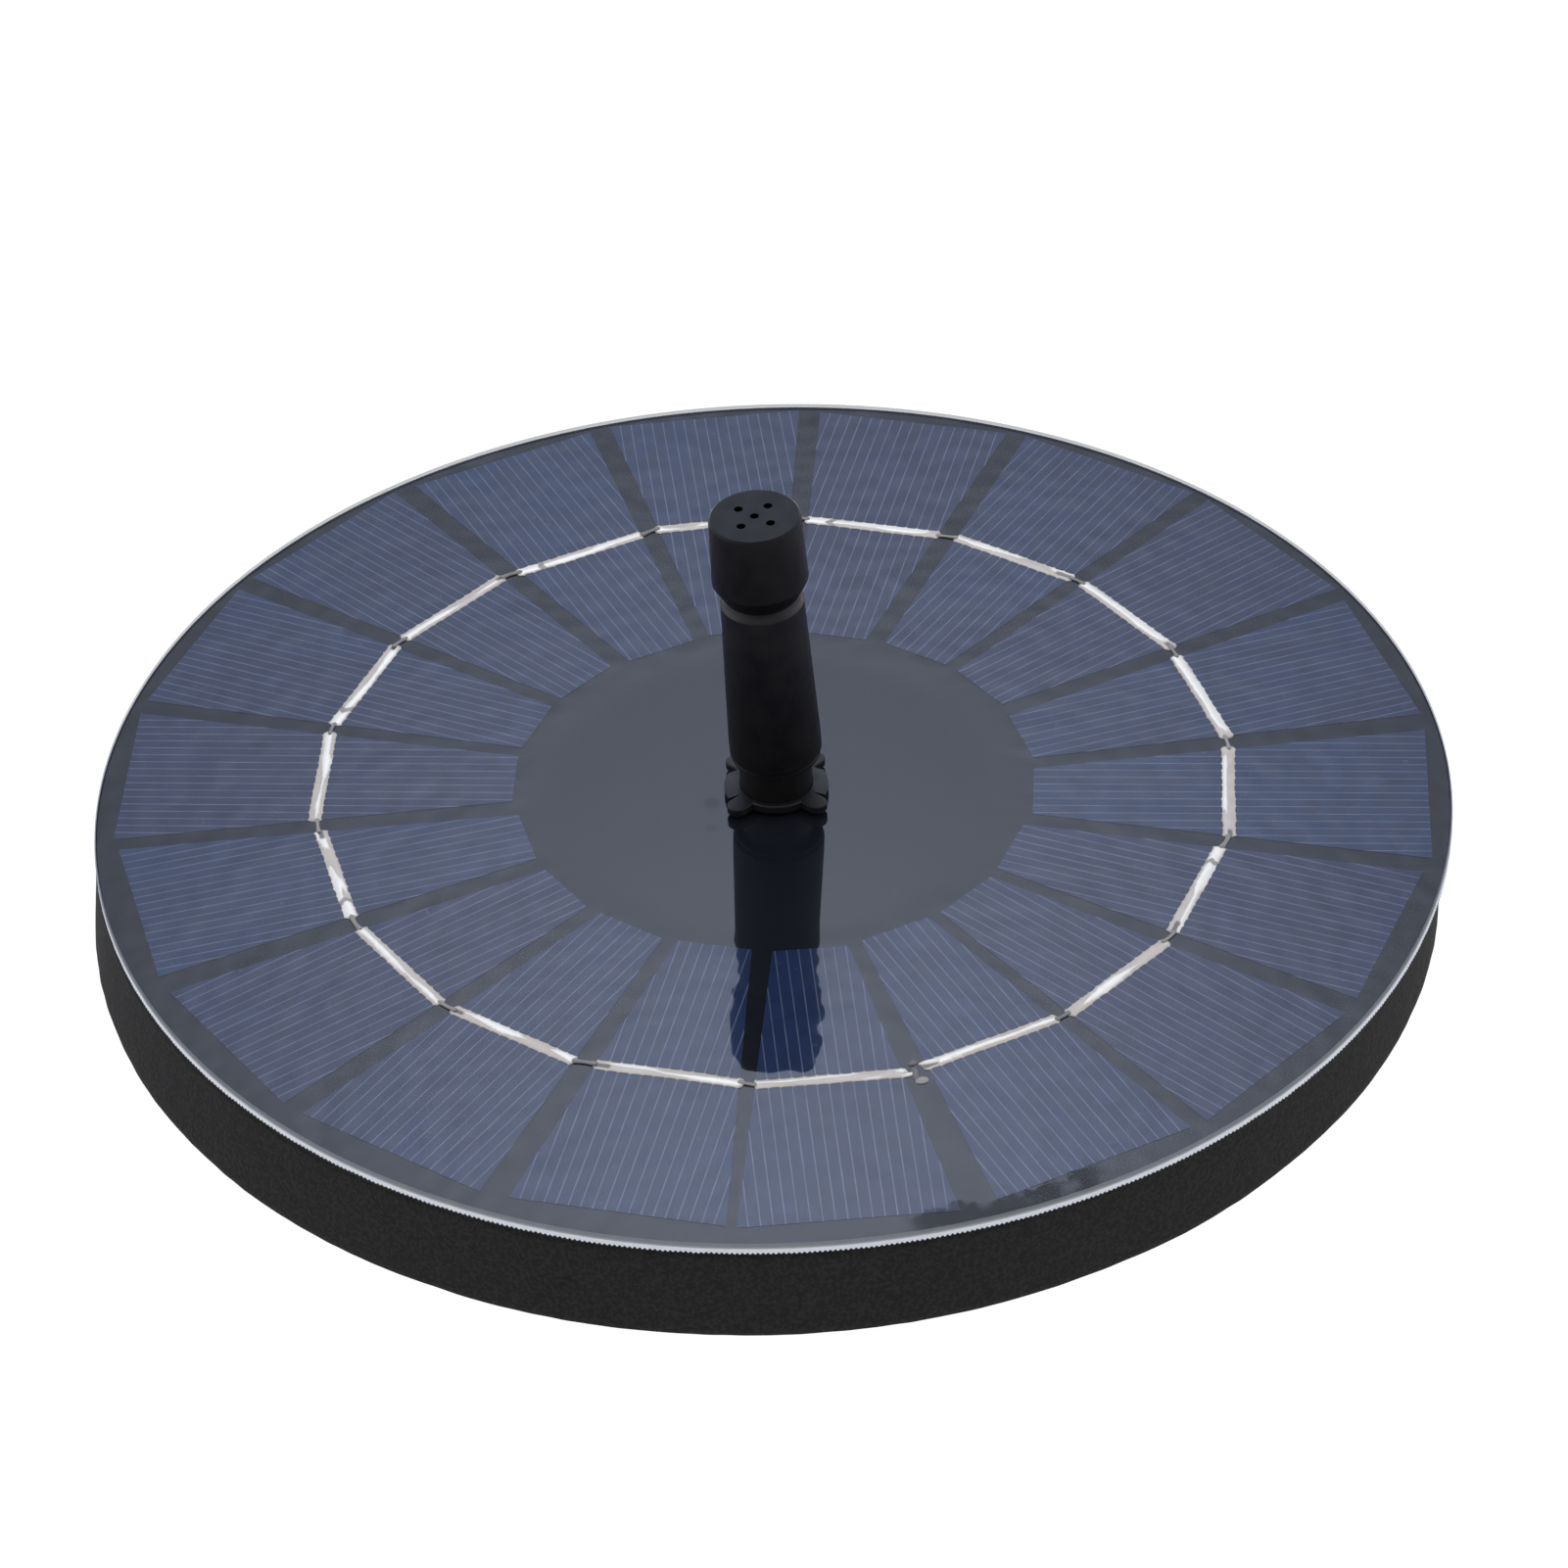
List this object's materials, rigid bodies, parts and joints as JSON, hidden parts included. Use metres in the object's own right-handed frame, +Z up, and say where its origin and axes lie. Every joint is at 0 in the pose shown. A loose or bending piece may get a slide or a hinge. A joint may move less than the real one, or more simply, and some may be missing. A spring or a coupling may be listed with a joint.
{
  "type": "floating solar fountain pump",
  "caption": "Round solar panel on a foam float ring, with a small brushless pump hung below it and a leaning black spray nozzle standing at its centre.",
  "frame": {"origin": "on the solar panel's axis, in the plane of the pump's flat underside", "axes": "+Z up, +X to the right, +Y to the back, away from the intake strainer"},
  "size_m": [0.1612, 0.16, 0.0696],
  "materials": {
    "silicon_cell": "satin",
    "tinned_ribbon": "satin",
    "clear_resin": "gloss",
    "panel_board": "satin",
    "float_foam": "matte",
    "adhesive_film": "matte",
    "nozzle_plastic": "satin",
    "pump_plastic": "satin",
    "box_plastic": "matte",
    "seal_rubber": "matte",
    "impeller_plastic": "satin",
    "ferrite": "matte",
    "shaft_ceramic": "polished",
    "core_steel": "satin",
    "bobbin_plastic": "satin",
    "copper_wire": "gloss",
    "circuit_board": "satin",
    "chip_plastic": "satin",
    "capacitor_can": "satin",
    "potting_resin": "gloss",
    "screw_steel": "polished",
    "terminal_brass": "polished",
    "lead_jacket": "satin"
  },
  "bodies": {
    "base": {"backing_board": "panel_board", "blocking_diode": "chip_plastic", "box_grommet": "seal_rubber", "cell_01": "silicon_cell", "cell_02": "silicon_cell", "cell_03": "silicon_cell", "cell_04": "silicon_cell", "cell_05": "silicon_cell", "cell_06": "silicon_cell", "cell_07": "silicon_cell", "cell_08": "silicon_cell", "cell_09": "silicon_cell", "cell_10": "silicon_cell", "cell_11": "silicon_cell", "cell_12": "silicon_cell", "cell_13": "silicon_cell", "cell_14": "silicon_cell", "cell_15": "silicon_cell", "cell_16": "silicon_cell", "cell_17": "silicon_cell", "cell_18": "silicon_cell", "cell_ribbons": "tinned_ribbon", "clear_coat": "clear_resin", "coil_bobbins": "bobbin_plastic", "control_board": "circuit_board", "driver_chip": "chip_plastic", "float_adhesive": "adhesive_film", "float_ring": "float_foam", "front_shaft_seat": "seal_rubber", "front_thrust_washer": "shaft_ceramic", "housing_screws": "screw_steel", "housing_seal": "seal_rubber", "junction_box": "box_plastic", "junction_lid": "box_plastic", "motor_housing": "pump_plastic", "outlet_washer": "seal_rubber", "panel_terminals": "terminal_brass", "potting_plug": "potting_resin", "pump_grommet": "seal_rubber", "pump_lead": "lead_jacket", "rear_shaft_seat": "seal_rubber", "rear_thrust_washer": "shaft_ceramic", "ribbon_links": "tinned_ribbon", "rotor_shaft": "shaft_ceramic", "smoothing_capacitor": "capacitor_can", "stator_coils": "copper_wire", "stator_core": "core_steel", "volute_cover": "pump_plastic"},
    "rotor": {"impeller": "impeller_plastic", "rotor_magnet": "ferrite"},
    "collar": {"lock_collar": "nozzle_plastic"},
    "riser": {"nozzle_riser": "nozzle_plastic"},
    "cap": {"nozzle_cap": "nozzle_plastic"},
    "strainer": {"intake_strainer": "pump_plastic"}
  },
  "joints": [
    {"name": "impeller_spin", "type": "hinge", "parent": "base", "child": "rotor", "pos_m": [0.0005, 0, 0.0135], "axis": [0, 1, 0], "continuous": true},
    {"name": "collar_turn", "type": "hinge", "parent": "base", "child": "collar", "pos_m": [0.0005, 0, 0.0305], "axis": [0, 0, 1], "continuous": true},
    {"name": "riser_pull", "type": "slide", "parent": "base", "child": "riser", "axis": [-0.0436, 0, 0.999], "range_m": [0, 0.008]},
    {"name": "cap_pull", "type": "slide", "parent": "riser", "child": "cap", "axis": [-0.0436, 0, 0.999], "range_m": [0, 0.01]},
    {"name": "strainer_pull", "type": "slide", "parent": "base", "child": "strainer", "axis": [0, -1, 0], "range_m": [0, 0.006]}
  ]
}
